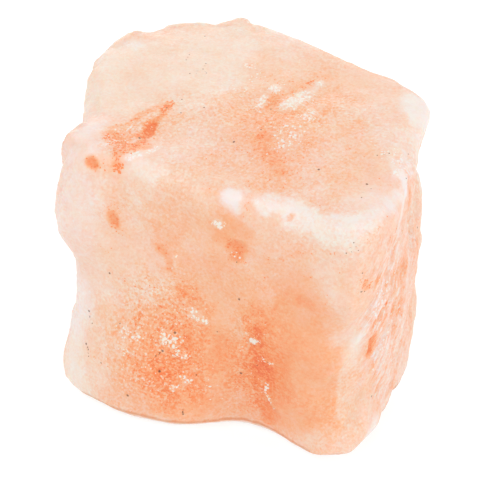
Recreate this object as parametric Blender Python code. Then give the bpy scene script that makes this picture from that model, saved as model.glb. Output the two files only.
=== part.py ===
"""Rough cubic block of pink halite (rock salt), broken out along its cleavage and worn at the edges.

The block is one solid. A cube is subdivided and its points are pushed out along rays from the heart
of the block until they meet the surface. The surface is where a depth field is zero: the field is the
smoothed intersection of the cleavage cuts, less the swells, ripples and flutes that lie on them.
Lengths are in millimetres until the last step, angles in degrees. +Z is up, the front faces -Y, and
the origin is on the surface that the block rests on, straight under its heart.
"""

from dataclasses import dataclass, field

import bmesh
import bpy
import numpy as np

MM = 0.001
NAME = "halite_crystal"

# Driving dimensions: where the six sides of the block lie.
LEFT_X = -32.4
RIGHT_X = 32.4
FRONT_Y = -28.6
BACK_Y = 29.3
TOP_Z = 56.5
HEART = np.array([0.0, 0.0, 29.0])
FIBRES = (61.0, 54.0)  # the compass angle and the tilt of the fibres that show on the right side

# The footprint's back outline, from left to right: the peak splits the back in two faces.
BACK_CORNER = (LEFT_X - 1.0, 16.0)
BACK_SHOULDER = (-27.0, 24.6)
BACK_PEAK = (-10.0, BACK_Y)
BACK_END = (RIGHT_X, 15.0)

CELLS = 28  # grid cells along each side of the cube, which gives 9408 triangles
EDGE_CROWDING = 0.45  # how far the grid lines crowd towards the cube's edges, 0 to 1
STRAY = 0.3  # how far a grid point strays from its line, so that no row of points is dead straight
FOOT_ROUNDING = 5.0
SEARCH_FROM, SEARCH_TO, SEARCH_STEPS, HALVINGS = 75.0, 8.0, 70, 24


@dataclass(frozen=True)
class Ledge:
    """A cleavage step: past a line drawn across a cut, the face lies deeper by drop.

    turn is the direction across the step within the face, 0 level and 90 upwards, and offset the
    distance of the step from the cut's through point in that direction.
    """

    turn: float
    offset: float
    drop: float
    width: float = 1.6
    wander: float = 2.0


@dataclass(frozen=True)
class Cut:
    """A cleavage or fracture plane through a point, with the direction that it faces."""

    name: str
    azimuth: float
    tilt: float
    through: tuple
    rounding: float
    ledges: tuple = field(default=())


@dataclass(frozen=True)
class Swell:
    """A lump (height above 0) or a hollow (below 0) that fades out over its spread."""

    name: str
    at: tuple
    spread: tuple
    height: float


CUTS = (
    Cut("top", 255, 84, (0, 0, TOP_Z), 5.0),
    Cut("front", 260, 1, (16, FRONT_Y + 0.8, 30), 4.5),
    Cut("right", 2, 2, (RIGHT_X, 0, 30), 5.0),
    Cut("front right", 331, -5, (33.4, -13, 15), 5.0),
    Cut("left", 185, -4, (LEFT_X, 0, 50), 5.0, (Ledge(-20, 14, 1.5), Ledge(-100, 30, -0.9))),
    Cut("back", 100, 2, (BACK_PEAK[0], BACK_Y, 50), 3.0, (Ledge(-80, 16, 2.0), Ledge(-100, 34, -1.2))),
    Cut("back left", 118, 4, (*BACK_SHOULDER, TOP_Z), 3.0),
    Cut("back corner", 152, 4, (*BACK_CORNER, TOP_Z), 3.0),
    Cut("back right", 71, 3, (9, 22.7, TOP_Z), 1.5, (Ledge(-84, 21, 1.8), Ledge(-95, 40, -1.4))),
)

SWELLS = (
    Swell("left brow", (-33, 9, 54), (6, 10, 7), 1.2),
    Swell("left temple", (-31, -14, 50), (5, 4, 5), 0.6),
    Swell("left shoulder", (-30, -20, 38), (9, 9, 10), 3.6),
    Swell("left waist", (-30, -20, 28), (7, 9, 5), -1.0),
    Swell("left foot", (-28, -24, 8), (8, 9, 7), 1.4),
    Swell("left toe", (-29, -24, 12), (4, 6, 5), -1.2),
    Swell("left lobe", (-14, -26, 8), (17, 12, 18), 6.5),
    Swell("front foot", (-14, -28, 2), (14, 7, 5), 1.5),
    Swell("front valley", (8, -27, 3), (9, 9, 15), -3.8),
    Swell("right foot", (30, -28, 3), (7, 7, 8), 0.8),
    Swell("right toe", (32, -22, 4), (7, 8, 7), 3.6),
    Swell("right toe tip", (27, -27, 2), (7, 6, 6), 2.2),
    Swell("right heel", (34, 3, 7), (8, 8, 9), 1.0),
    Swell("right hollow", (34, 15, 15), (5, 6, 8), -1.4),
    Swell("right notch", (33, 8, 45), (7, 12, 8), -3.6),
    Swell("right brow", (31, 9, 57), (5, 7, 4), 0.7),
    Swell("left notch", (-32, -9, 54), (5, 5, 6), -1.6),
    Swell("top hollow", (-17, -8, 55), (9, 7, 5), -1.0),
    Swell("top swell", (10, -4, 57), (12, 9, 6), 0.7),
    Swell("back dip", (-17, 30, 58), (6, 6, 6), -0.9),
    Swell("back peak", (-11, 30, 58), (3, 3, 5), 0.8),
    Swell("back lip", (1, 26, 58), (5, 4, 6), -0.9),
    Swell("back left corner", (-28, 23, 57), (4, 3, 6), -0.8),
    Swell("back right corner", (30, 17, 58), (5, 4, 5), -0.9),
    Swell("back left hollow", (-30, 22, 22), (12, 10, 13), -3.0),
    Swell("back heel", (10, 24, 6), (16, 9, 9), 2.0),
)


def direction(azimuth: float, tilt: float) -> np.ndarray:
    """The unit vector at this compass angle from +X towards +Y, and this angle above the horizon."""
    a, t = np.radians(azimuth), np.radians(tilt)
    return np.array([np.cos(a) * np.cos(t), np.sin(a) * np.cos(t), np.sin(t)])


def smooth_max(a: np.ndarray, b: np.ndarray, width: float) -> np.ndarray:
    """The larger of two fields, blended where they differ by less than width."""
    near = np.maximum(width - np.abs(a - b), 0.0) / width
    return np.maximum(a, b) + near * near * width / 4


def fade(value: np.ndarray, start: float, end: float) -> np.ndarray:
    """0 before start, 1 after end, and between them a step that is smooth at both ends."""
    t = np.clip((value - start) / (end - start), 0.0, 1.0)
    return t * t * t * (t * (t * 6 - 15) + 10)


def corner_value(x: np.ndarray, y: np.ndarray, z: np.ndarray, seed: int) -> np.ndarray:
    """A fixed scrambled value from -1 to 1 for each whole-numbered corner of a lattice."""
    mixed = (
        x.astype(np.uint32) * np.uint32(374761393)
        + y.astype(np.uint32) * np.uint32(668265263)
        + z.astype(np.uint32) * np.uint32(2246822519)
        + np.uint32(seed * 3266489917 & 0xFFFFFFFF)
    )
    mixed = (mixed ^ (mixed >> np.uint32(13))) * np.uint32(1274126177)
    mixed = (mixed ^ (mixed >> np.uint32(15))) * np.uint32(2654435761)
    return (mixed ^ (mixed >> np.uint32(16))) / 2147483648.0 - 1.0


def ripple(points: np.ndarray, size: float, seed: int, blend: float = 1.0) -> np.ndarray:
    """Noise from -1 to 1: lattice values of this cell size, blended from corner to corner.

    blend is the share of a cell over which the change from one corner to the next takes place: at 1
    the noise is smooth, and near 0 it makes level blocks with soft steps between them.
    """
    scaled = points / size
    corner = np.floor(scaled).astype(np.int64)
    ease = fade(scaled - corner, (1 - blend) / 2, (1 + blend) / 2)
    total = np.zeros(points.shape[:-1])
    for dx in (0, 1):
        for dy in (0, 1):
            for dz in (0, 1):
                weight = (
                    (ease[..., 0] if dx else 1 - ease[..., 0])
                    * (ease[..., 1] if dy else 1 - ease[..., 1])
                    * (ease[..., 2] if dz else 1 - ease[..., 2])
                )
                x, y, z = corner[..., 0] + dx, corner[..., 1] + dy, corner[..., 2] + dz
                total += weight * corner_value(x, y, z, seed)
    return total


def cut_depth(cut: Cut, points: np.ndarray) -> np.ndarray:
    """The distance in front of a cut's plane, with its ledges."""
    facing = direction(cut.azimuth, cut.tilt)
    level = direction(cut.azimuth + 90, 0)
    upwards = np.cross(facing, level)
    offset = points - np.array(cut.through, float)
    depth = offset @ facing
    for ledge in cut.ledges:
        across = level * np.cos(np.radians(ledge.turn)) + upwards * np.sin(np.radians(ledge.turn))
        reach = offset @ across + ledge.wander * ripple(points, 9.0, 41)
        depth = depth + ledge.drop * fade(reach, ledge.offset, ledge.offset + ledge.width)
    return depth


def swell_height(points: np.ndarray) -> np.ndarray:
    """The sum of the swells: each is its height times a bell curve of the distance over its spread."""
    total = np.zeros(points.shape[:-1])
    for swell in SWELLS:
        reach = (points - np.array(swell.at, float)) / np.array(swell.spread, float)
        total += swell.height * np.exp(-(reach * reach).sum(axis=-1))
    return total


def ripple_height(points: np.ndarray) -> np.ndarray:
    """The worn waviness of all the faces: broad, middling and small ripples."""
    return (
        0.50 * ripple(points, 14.0, 3)
        + 0.40 * ripple(points, 8.0, 5)
        + 0.22 * ripple(points, 4.6, 7)
    )


def block_height(points: np.ndarray) -> np.ndarray:
    """Square cleavage steps, faint where the block is worn and bold on the broken sides behind."""
    behind = fade(points @ direction(125, 0), 4.0, 20.0) * fade(-points[..., 2], -53.0, -44.0)
    return (0.15 + 0.75 * behind) * ripple(points + 3.0, 11.0, 31, blend=0.3)


def flute_height(points: np.ndarray) -> np.ndarray:
    """Slanting flutes where the two right cuts are outermost, and the salt split along its fibres.

    The noise is stretched along the fibres, and folded at 0 so that it makes ridges.
    """
    depths = {cut.name: cut_depth(cut, points) for cut in CUTS[:4]}
    side = np.maximum(depths["right"], depths["front right"])
    share = fade(side - np.maximum(depths["front"], depths["top"]), -2.0, 1.5)
    along = direction(*FIBRES)
    across = direction(FIBRES[0] - 90, 0)
    upwards = np.cross(along, across)
    stretched = np.stack([points @ across * 0.6, points @ upwards, points @ along * 0.14], axis=-1)
    return share * 0.6 * (1.0 - 2.0 * np.abs(ripple(stretched, 5.2, 11)))


def block_depth(points: np.ndarray) -> np.ndarray:
    """The depth field: below 0 inside the block, 0 on its surface, above 0 outside."""
    depth = cut_depth(CUTS[0], points)
    for cut in CUTS[1:]:
        depth = smooth_max(depth, cut_depth(cut, points), cut.rounding)
    depth = depth - swell_height(points) - ripple_height(points)
    depth = depth - block_height(points) - flute_height(points)
    return smooth_max(depth, -points[..., 2], FOOT_ROUNDING)


def guide_points(cube: np.ndarray) -> np.ndarray:
    """Moves points of the cube from -1 to 1 onto a box whose edges follow the block's own."""
    crowded = (1 - EDGE_CROWDING) * cube + EDGE_CROWDING * np.sin(cube * np.pi / 2)
    share = (crowded + 1) / 2
    x = LEFT_X + (RIGHT_X - LEFT_X) * share[:, 0]
    outline = (BACK_CORNER, BACK_SHOULDER, BACK_PEAK, BACK_END)
    back = np.interp(x, [p[0] for p in outline], [p[1] for p in outline])
    y = FRONT_Y + (back - FRONT_Y) * share[:, 1]
    z = (TOP_Z + 0.09 * y) * share[:, 2]
    guides = np.stack([x, y, z], axis=-1)
    stray = [ripple(guides, 1.7, seed) for seed in (21, 22, 23)]
    return guides + STRAY * np.stack(stray, axis=-1)


def surface_points(guides: np.ndarray) -> np.ndarray:
    """Where the ray from the heart through each guide point meets the surface.

    The ray is walked inwards until it enters the block, and the crossing is then halved down.
    """
    rays = guides - HEART
    rays = rays / np.linalg.norm(rays, axis=1, keepdims=True)
    outside = np.full(len(rays), SEARCH_FROM)
    inside = np.full(len(rays), SEARCH_TO)
    searching = np.ones(len(rays), bool)
    for reach in np.linspace(SEARCH_FROM, SEARCH_TO, SEARCH_STEPS):
        entered = searching & (block_depth(HEART + rays * reach) < 0)
        inside[entered] = reach
        searching &= ~entered
        outside[searching] = reach
    for _ in range(HALVINGS):
        middle = (outside + inside) / 2
        within = block_depth(HEART + rays * middle[:, None]) < 0
        inside = np.where(within, middle, inside)
        outside = np.where(within, outside, middle)
    return HEART + rays * inside[:, None]


def clear_scene() -> None:
    """Removes every object of the open scene."""
    for old in list(bpy.data.objects):
        bpy.data.objects.remove(old, do_unlink=True)


def halite_material() -> bpy.types.Material:
    """Waxy pink rock salt."""
    material = bpy.data.materials.new("pink_halite")
    material.use_nodes = True
    shader = material.node_tree.nodes["Principled BSDF"]
    shader.inputs["Base Color"].default_value = (0.93, 0.56, 0.41, 1.0)
    shader.inputs["Roughness"].default_value = 0.42
    shader.inputs["Metallic"].default_value = 0.0
    shader.inputs["IOR"].default_value = 1.544
    return material


def build_block() -> bpy.types.Object:
    """The block as one object: a subdivided cube whose points are moved onto the surface."""
    mesh = bpy.data.meshes.new(NAME)
    shape = bmesh.new()
    bmesh.ops.create_cube(shape, size=2.0)
    bmesh.ops.subdivide_edges(shape, edges=shape.edges[:], cuts=CELLS - 1, use_grid_fill=True)
    shape.to_mesh(mesh)
    shape.free()
    cube = np.empty(len(mesh.vertices) * 3)
    mesh.vertices.foreach_get("co", cube)
    placed = surface_points(guide_points(cube.reshape(-1, 3)))
    placed[:, 2] = np.where(placed[:, 2] < 0.02, 0.0, placed[:, 2])
    mesh.vertices.foreach_set("co", (placed * MM).ravel())
    mesh.shade_smooth()
    mesh.set_sharp_from_angle(angle=np.radians(35))
    mesh.materials.append(halite_material())
    block = bpy.data.objects.new(NAME, mesh)
    collection = bpy.data.collections.new("halite_cubic_crystal")
    bpy.context.scene.collection.children.link(collection)
    collection.objects.link(block)
    return block


def main() -> None:
    """Clears the scene and builds the block."""
    clear_scene()
    build_block()


if __name__ == "__main__":
    main()
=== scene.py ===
"""Looks of a rough cubic block of pink halite: rock salt that was broken out along its cleavage.

The block is one closed surface. A grid on the six faces of a cube is laid round a heart inside the
block, and each grid point is moved along its ray from the heart until it meets the surface, where a
depth field is zero. Fine relief is then pushed out along the surface's own normals, and layers of
colour are painted on the points as attributes, which the salt's finish reads. Lengths are in
millimetres until a mesh is made, angles in degrees. +Z is up and the front faces -Y.
"""

import logging
from dataclasses import dataclass, field
from enum import Enum

import bpy
import numpy as np
from mathutils import Matrix, Vector


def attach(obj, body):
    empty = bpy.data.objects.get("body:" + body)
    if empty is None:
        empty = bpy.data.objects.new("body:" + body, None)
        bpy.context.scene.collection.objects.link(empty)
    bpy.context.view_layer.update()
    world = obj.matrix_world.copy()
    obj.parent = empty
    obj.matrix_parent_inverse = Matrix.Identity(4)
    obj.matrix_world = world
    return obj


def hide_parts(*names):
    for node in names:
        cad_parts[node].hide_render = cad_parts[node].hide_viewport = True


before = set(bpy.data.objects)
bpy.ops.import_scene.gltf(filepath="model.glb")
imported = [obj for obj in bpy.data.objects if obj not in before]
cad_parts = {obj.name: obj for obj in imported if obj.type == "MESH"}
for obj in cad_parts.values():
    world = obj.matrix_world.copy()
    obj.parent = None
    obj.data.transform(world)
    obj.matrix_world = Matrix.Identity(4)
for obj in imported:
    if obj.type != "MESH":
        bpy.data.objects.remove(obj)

MM = 0.001
SPECK_WAY = "speck_way"
Array = np.ndarray
Point = tuple[float, float, float]
Colour = tuple[float, float, float]
Socket = bpy.types.NodeSocket
Input = Socket | float | tuple[float, ...]

log = logging.getLogger("halite")


class Layer(Enum):
    """A quantity painted over the block, mostly from 0 to 1, that its finish reads by this name."""

    TINT = "tint"  # 0 is cloudy white salt and 1 the deepest orange
    STAIN = "stain"  # how densely specks of deep orange salt lie in it
    GRAIN = "grain"  # how strongly the single grains of salt show
    FIBRE = "fibre"  # how strongly the salt is streaked along its fibres
    FLAKE = "flake"  # how densely white, bruised flakes lie on it
    ROSE = "rose"  # 0 where the salt leans to cream and 1 where it leans to pink


@dataclass(frozen=True)
class Ledge:
    """A cleavage step: past a line drawn across a cut, the face lies deeper by drop.

    turn is the direction across the step within the face, 0 level and 90 upwards, and offset the
    distance of the step from the cut's through point in that direction.
    """

    turn: float
    offset: float
    drop: float
    width: float = 1.6
    wander: float = 2.0


@dataclass(frozen=True)
class Cut:
    """A cleavage or fracture plane through a point, with the direction that it faces."""

    name: str
    azimuth: float
    tilt: float
    through: Point
    rounding: float
    ledges: tuple[Ledge, ...] = ()


@dataclass(frozen=True)
class Swell:
    """A lump (height above 0) or a hollow (below 0) that fades out over its spread."""

    name: str
    at: Point
    spread: Point
    height: float


@dataclass(frozen=True)
class Wave:
    """Noise of one kind: its height, the size of its cells, its seed and the share that blends."""

    height: float
    size: float
    seed: int
    blend: float = 1.0


@dataclass(frozen=True)
class Stroke:
    """Paint along a line of points: within width of the line, a layer goes towards value.

    soft is the share of the width over which the paint fades out, and ragged the share by which its
    border wanders.
    """

    name: str
    value: float
    width: float
    line: tuple[Point, ...]
    soft: float = 0.9
    ragged: float = 0.35


# The block's sides, the corners of its back as (x, y), and the straight edge at the back of its top.
LEFT_X = -32.4
RIGHT_X = 32.4
FRONT_Y = -28.6
BACK_Y = 29.3
TOP_Z = 56.5
TOP_SLOPE = 0.09
BACK_CORNER = (LEFT_X - 1.0, 16.0)
BACK_SHOULDER = (-27.0, 24.6)
BACK_PEAK = (-10.0, BACK_Y)
BACK_END = (RIGHT_X, 15.0)
STRAIGHT_EDGE = ((BACK_PEAK[0] + 3.0, BACK_Y - 1.0, 59.0), (*BACK_END, 58.0))

# The compass angle and tilt of the fibres, the compass angles of the hidden and the broken sides, the
# seeds that stray the grid, and the cleavage blocks' shift and their heights, worn and broken.
FIBRE_WAY = (61.0, 54.0)
HIDDEN_WAY = 135.0
BROKEN_WAY = 125.0
STRAY_SEEDS = (21, 22, 23)
BLOCK_SHIFT = 3.0
BLOCK_HEIGHTS = (0.15, 0.9)

# Where things fade in, from the first value to the second: the hidden sides by how far a face turns
# to HIDDEN_WAY, the broken sides by the reach along BROKEN_WAY and by the height, the flutes by how
# far the right cuts stand out, and all relief by the height above the foot.
HIDDEN_FACING = (0.1, 0.45)
BROKEN_REACH = (4.0, 20.0)
BROKEN_BELOW = (53.0, 44.0)
FLUTE_BORDER = (-2.0, 1.5)
FOOT_CLEAR = (0.1, 1.5)

# The same for what follows a layer or a wave: stains, grains and grooves by the tint, raised flakes
# and their pale halo by the flakes, and chips by their wave.
STAINED_FROM = (0.15, 0.4)
GRAINED_FROM = (-0.1, 0.25)
GROOVED_FROM = (0.72, 0.95)
FLAKED_FROM = (0.3, 0.7)
HALO_FROM = (0.2, 0.9)
CHIPPED_FROM = (0.25, 0.6)

# How the surface is uneven: the worn faces, the cleavage blocks and the wander of their ledges, and
# then the fine scrapes, steps and chips that are laid over them.
WORN = (Wave(0.5, 14.0, 3), Wave(0.4, 8.0, 5), Wave(0.22, 4.6, 7))
BLOCKS = (Wave(1.0, 11.0, 31, 0.3),)
WANDER = (Wave(1.0, 9.0, 41),)
SCRAPES = (Wave(0.1, 2.6, 71), Wave(0.06, 1.4, 72))
STEPS = (Wave(0.35, 5.2, 75, 0.16), Wave(0.2, 2.3, 77, 0.3))
CHIPS = (Wave(1.0, 3.1, 76),)

# How the colour is uneven: the clouds in the tint, the ragged borders of the strokes, and each
# layer's level before any stroke, with its own drift.
CLOUDS = (Wave(0.05, 19.0, 51), Wave(0.06, 8.0, 52), Wave(0.04, 3.6, 53))
BORDERS = (Wave(0.6, 3.4, 61), Wave(0.6, 1.5, 62))
GROUND: dict[Layer, tuple[float, tuple[Wave, ...]]] = {
    Layer.TINT: (0.42, ()),
    Layer.STAIN: (0.08, (Wave(0.25, 10.0, 55),)),
    Layer.GRAIN: (0.4, (Wave(0.25, 9.0, 54),)),
    Layer.FIBRE: (0.0, ()),
    Layer.FLAKE: (0.0, ()),
    Layer.ROSE: (0.45, (Wave(0.3, 12.0, 56),)),
}

CUTS = (
    Cut("top", 255, 84, (0, 0, TOP_Z), 5.0),
    Cut("front", 260, 1, (16, FRONT_Y + 0.8, 30), 4.5),
    Cut("right", 2, 2, (RIGHT_X, 0, 30), 5.0),
    Cut("front right", 331, -5, (33.4, -13, 15), 5.0),
    Cut("left", 185, -4, (LEFT_X, 0, 50), 5.0, (Ledge(-20, 14, 1.5), Ledge(-100, 30, -0.9))),
    Cut("back", 100, 2, (BACK_PEAK[0], BACK_Y, 50), 3.0, (Ledge(-80, 16, 2.0), Ledge(-100, 34, -1.2))),
    Cut("back left", 118, 4, (*BACK_SHOULDER, TOP_Z), 3.0),
    Cut("back corner", 152, 4, (*BACK_CORNER, TOP_Z), 3.0),
    Cut("back right", 71, 3, (9, 22.7, TOP_Z), 1.5, (Ledge(-84, 21, 1.8), Ledge(-95, 40, -1.4))),
)

SWELLS = (
    Swell("left brow", (-33, 9, 54), (6, 10, 7), 1.2),
    Swell("left temple", (-31, -14, 50), (5, 4, 5), 0.6),
    Swell("left shoulder", (-30, -20, 38), (9, 9, 10), 3.6),
    Swell("left waist", (-30, -20, 28), (7, 9, 5), -1.0),
    Swell("left foot", (-28, -24, 8), (8, 9, 7), 1.4),
    Swell("left toe", (-29, -24, 12), (4, 6, 5), -1.2),
    Swell("left lobe", (-14, -26, 8), (17, 12, 18), 6.5),
    Swell("front foot", (-14, -28, 2), (14, 7, 5), 1.5),
    Swell("front valley", (8, -27, 3), (9, 9, 15), -3.8),
    Swell("right foot", (30, -28, 3), (7, 7, 8), 0.4),
    Swell("right toe", (32, -22, 4), (7, 8, 7), 3.6),
    Swell("right toe tip", (27, -27, 2), (7, 6, 6), 1.6),
    Swell("right heel", (34, 3, 7), (8, 8, 9), 1.0),
    Swell("right hollow", (34, 15, 15), (5, 6, 8), -1.4),
    Swell("right notch", (33, 8, 45), (7, 12, 8), -3.6),
    Swell("right brow", (31, 9, 57), (5, 7, 4), 0.7),
    Swell("left notch", (-32, -9, 54), (5, 5, 6), -1.6),
    Swell("top hollow", (-17, -8, 55), (9, 7, 5), -1.0),
    Swell("top swell", (10, -4, 57), (12, 9, 6), 0.7),
    Swell("back dip", (-17, 30, 58), (6, 6, 6), -0.9),
    Swell("back peak", (-11, 30, 58), (3, 3, 5), 0.8),
    Swell("back lip", (1, 26, 58), (5, 4, 6), 0.1),
    Swell("back edge", (18, 19, 58), (8, 5, 6), -0.5),
    Swell("back left corner", (-28, 23, 57), (4, 3, 6), -0.8),
    Swell("back right corner", (30, 17, 58), (5, 4, 5), -0.9),
    Swell("back left hollow", (-30, 22, 22), (12, 10, 13), -3.0),
    Swell("back heel", (10, 24, 6), (16, 9, 9), 2.0),
)

WASHES = (
    Stroke("top warmth", 0.5, 8.0, ((4, 8, 57), (7, -8, 56), (18, -8, 57)), 0.7),
    Stroke("cream upper left", 0.26, 8.0, ((-28, -4, 55), (-26, 8, 57), (-18, 14, 58)), 0.5),
    Stroke("cream upper middle", 0.27, 5.5, ((-17, 5, 57), (-10, 8, 58), (-11, 20, 58)), 0.35),
    Stroke("pale left shoulder", 0.28, 5.5, ((-29, -15, 53), (-28, -21, 46), (-28, -22, 34)), 0.7),
    Stroke("pale left rim", 0.32, 4.0, ((-28, -21, 32), (-27, -22, 22))),
    Stroke("pale left foot", 0.1, 4.6, ((-28, -21, 20), (-26, -25, 12), (-25, -27, 7)), 0.8),
    Stroke("pale left waist", 0.38, 4.5, ((-19, -24, 31), (-12, -24, 30))),
    Stroke("front warmth", 0.6, 10.0, ((-2, -24, 42), (6, -26, 36), (8, -26, 20))),
    Stroke("front middle warmth", 0.67, 3.6, ((-3, -25, 36), (-1, -25, 29))),
    Stroke("front foot warmth", 0.66, 9.0, ((-12, -28, 10), (4, -26, 10), (18, -28, 10)), 0.8),
    Stroke("right front warmth", 0.72, 7.0, ((18, -29, 36), (18, -29, 26), (20, -28, 12)), 0.6),
    Stroke("left lobe", 0.79, 7.0, ((-8, -26, 22), (-8, -28, 17), (-5, -29, 12)), 0.8),
    Stroke("lobe right", 0.82, 4.2, ((-2, -27, 22), (3, -26, 20), (6, -26, 15))),
    Stroke("lobe heart", 0.88, 2.5, ((-4, -27, 21), (-3, -28, 14))),
    Stroke("middle", 0.85, 4.6, ((11, -28, 31), (13, -28, 25), (11, -27, 18), (12, -26, 9))),
    Stroke("chamfer", 0.52, 4.0, ((30, -24, 42), (30, -22, 30), (31, -20, 14)), 0.8),
    Stroke("right toe", 0.5, 4.0, ((27, -27, 9), (30, -25, 8), (31, -22, 7))),
    Stroke("pale right toe", 0.1, 1.6, ((31, -25, 2), (33, -20, 5))),
    Stroke("pale front column", 0.38, 2.8, ((21, -28, 50), (22, -29, 46), (23, -29, 43))),
    Stroke("pale right top", 0.4, 4.0, ((28, 0, 57), (29, -6, 57)), 0.8),
    Stroke("top front warmth", 0.52, 4.0, ((-4, -17, 55), (6, -18, 55))),
    Stroke("top middle warmth", 0.62, 2.8, ((8, -2, 57), (11, -8, 57), (10, -13, 56))),
    Stroke("cream lower lobe", 0.28, 2.4, ((-15, -1, 56), (-11, -1, 56))),
    Stroke("pale left notch", 0.12, 2.0, ((-28, -15, 54), (-27, -12, 55))),
    Stroke("front centre warmth", 0.7, 3.0, ((1, -26, 37), (6, -26, 36))),
    Stroke("front right rim", 0.5, 2.5, ((26, -29, 43), (27, -28, 38))),
    Stroke("front right foot warmth", 0.78, 4.0, ((23, -28, 18), (24, -28, 10))),
    Stroke("front right edge warmth", 0.72, 1.8, ((24, -29, 26), (24, -28, 22))),
    Stroke("chamfer foot", 0.5, 4.1, ((29, -24, 27), (29, -24, 12)), 0.15, 0.1),
    Stroke("pale chamfer foot", 0.36, 1.9, ((28, -25, 30), (28, -25, 23)), 0.8),
    Stroke("middle right warmth", 0.92, 3.0, ((13, -27, 21), (14, -27, 14))),
    Stroke("pale left chest", 0.27, 2.4, ((-23, -23, 29), (-21, -23, 26))),
    Stroke("lobe left fade", 0.35, 3.0, ((-22, -27, 15), (-21, -28, 9))),
    Stroke("right flush", 0.72, 3.4, ((33, -9, 35), (33, -12, 28))),
    Stroke("right edge flush", 0.62, 2.6, ((34, 0, 31), (34, 0, 20))),
    Stroke("right upper flush", 0.6, 2.6, ((32, -17, 37), (33, -14, 32))),
    Stroke("chamfer flush", 0.62, 1.9, ((31, -19, 31), (32, -16, 27))),
    Stroke("chamfer pale patch", 0.2, 1.5, ((28, -24, 29), (28, -24, 26)), 0.9, 0.7),
    Stroke("chamfer pale right", 0.22, 1.7, ((32, -18, 22), (32, -17, 19)), 0.9, 0.6),
    Stroke("lobe top", 0.78, 2.4, ((-4, -25, 29), (-3, -25, 26))),
    Stroke("lobe left edge", 0.66, 2.0, ((-16, -27, 19), (-15, -27, 22))),
    Stroke("cream corner", 0.12, 2.2, ((-28, 15, 57),)),
    Stroke("front right sole", 0.52, 2.4, ((21, -29, 4), (25, -29, 7))),
    Stroke("pale waist", 0.38, 2.2, ((-15, -24, 29), (-12, -24, 29))),
    Stroke("top back warmth", 0.5, 3.2, ((-3, 14, 58), (0, 12, 58))),
    Stroke("vein warmth", 0.68, 1.7, ((-8, -24, 41), (-7, -24, 38))),
    # The hidden sides.
    Stroke("back right wash", 0.6, 7.0, ((22, 19, 42), (20, 20, 22))),
    Stroke("back stain", 0.74, 8.0, ((4, 26, 34), (0, 27, 22), (-6, 28, 9))),
    Stroke("back stain heart", 0.95, 2.4, ((5, 26, 30), (2, 27, 22), (1, 27, 14)), 0.9, 0.6),
    Stroke("back pale side", 0.2, 6.0, ((-24, 26, 42), (-22, 27, 22)), 0.9, 0.5),
    Stroke("back vein", 0.85, 0.8, ((-17, 28, 46), (-12, 29, 38), (-10, 29, 27)), 0.9, 0.6),
    Stroke("back veil", 0.08, 2.4, ((-24, 26, 56), (-12, 29, 55), (-2, 27, 56)), 0.8, 0.6),
    Stroke("back corner veil", 0.12, 2.2, ((31, 16, 52), (32, 15, 38)), 0.8, 0.6),
    Stroke("left wash", 0.66, 8.0, ((-32, 6, 36), (-32, 2, 18))),
    Stroke("left vein", 0.9, 1.0, ((-33, 10, 47), (-33, 6, 39), (-32, 4, 28)), 0.9, 0.6),
    Stroke("left back veil", 0.1, 2.4, ((-31, 20, 50), (-31, 19, 34), (-30, 20, 26)), 0.8, 0.6),
    Stroke("left pale foot", 0.18, 5.0, ((-32, 14, 10), (-32, 0, 7)), 0.9, 0.5),
    Stroke("right back wash", 0.58, 5.0, ((33, 4, 30), (33, 2, 14)), 0.9, 0.5),
    Stroke("right back vein", 0.8, 0.8, ((32, 6, 44), (33, 3, 36), (33, 4, 30)), 0.9, 0.6),
    Stroke("underside scuff", 0.16, 9.0, ((-14, -4, 0), (8, 6, 0)), 0.9, 0.5),
)

VEILS = (
    Stroke("left patch", 0.06, 0.8, ((-16, -20, 53),), 0.9, 0.5),
    Stroke("left cloud", 0.24, 1.5, ((-15, -20, 53), (-13, -21, 52)), 0.9, 0.5),
    Stroke("left ridge", 0.32, 1.0, ((-16, -20, 53), (-11, -20, 53))),
    Stroke("blob", 0.08, 1.7, ((3, -24, 54), (3, -25, 52)), 0.35, 0.4),
    Stroke("crest start", 0.12, 1.5, ((8, -22, 54), (9, -24, 53)), 0.4, 0.4),
    Stroke("crest", 0.1, 1.8, ((9, -22, 54), (10, -23, 54), (14, -24, 54)), 0.5, 0.5),
    Stroke("crest middle", 0.06, 2.3, ((15, -25, 53), (18, -26, 53), (22, -27, 53)), 0.7, 0.5),
    Stroke("crest end", 0.07, 2.2, ((22, -27, 53), (26, -26, 55), (28, -23, 55)), 0.7, 0.5),
    Stroke("crest foot", 0.13, 1.7, ((22, -28, 53), (24, -28, 52), (26, -28, 53)), 0.9, 0.5),
    Stroke("crest hook", 0.12, 1.4, ((28, -23, 55), (30, -19, 55), (31, -15, 55)), 0.8, 0.5),
    Stroke("crest cloud", 0.27, 2.0, ((24, -21, 55), (27, -19, 55)), 0.9, 0.5),
    Stroke("right crest", 0.08, 1.0, ((30, -7, 56), (31, -11, 55), (32, -15, 52), (32, -15, 47)), 0.7),
    Stroke("right crest top", 0.28, 1.2, ((29, -6, 57), (31, -9, 56)), 0.9, 0.7),
    Stroke("crest notch", 0.44, 1.6, ((31, -22, 53), (31, -19, 50))),
    Stroke("crest gap", 0.5, 0.9, ((6, -21, 55), (6, -24, 52)), 0.8),
    Stroke("back corner", 0.1, 3.0, ((28, 11, 58), (31, 6, 57)), 0.35, 0.15),
    Stroke("back corner rim", 0.26, 2.2, ((31, 3, 56), (32, -2, 53)), 0.8),
)

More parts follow.
